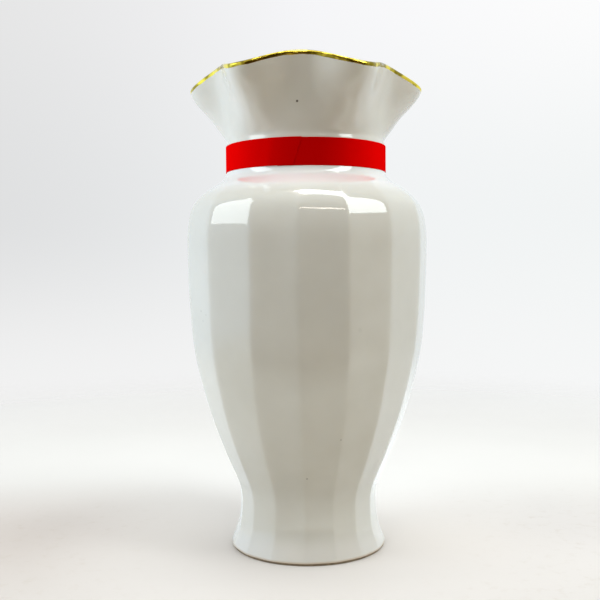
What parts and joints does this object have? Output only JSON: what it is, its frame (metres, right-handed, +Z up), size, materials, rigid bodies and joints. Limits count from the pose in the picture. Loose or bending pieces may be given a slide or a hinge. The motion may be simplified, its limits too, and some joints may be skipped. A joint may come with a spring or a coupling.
{
  "type": "vase",
  "caption": "Glazed porcelain baluster vase with flat vertical panels, a round neck with a red band and a flared, ruffled mouth with a gilded lip. Holds cut flowers.",
  "frame": {"origin": "centre of the foot, on the surface that the vase stands on", "axes": "+Z up along the vase's axis; -Y towards the front, where one panel corner and one pinch of the mouth face; +X to the right as seen from the front"},
  "size_m": [0.1264, 0.1264, 0.2484],
  "materials": {
    "glazed_porcelain": "white porcelain under a clear, high-gloss glaze",
    "gilding": "thin bright gold burnt onto the lip",
    "red_tape": "smooth red strip with a low sheen",
    "bare_clay": "ground, unglazed foot, a little stained"
  },
  "bodies": {
    "root": {"fluted_body": "glazed_porcelain", "ruffled_mouth": "glazed_porcelain", "gilt_rim": "gilding", "neck_band": "red_tape", "foot_ring": "bare_clay"}
  },
  "joints": []
}
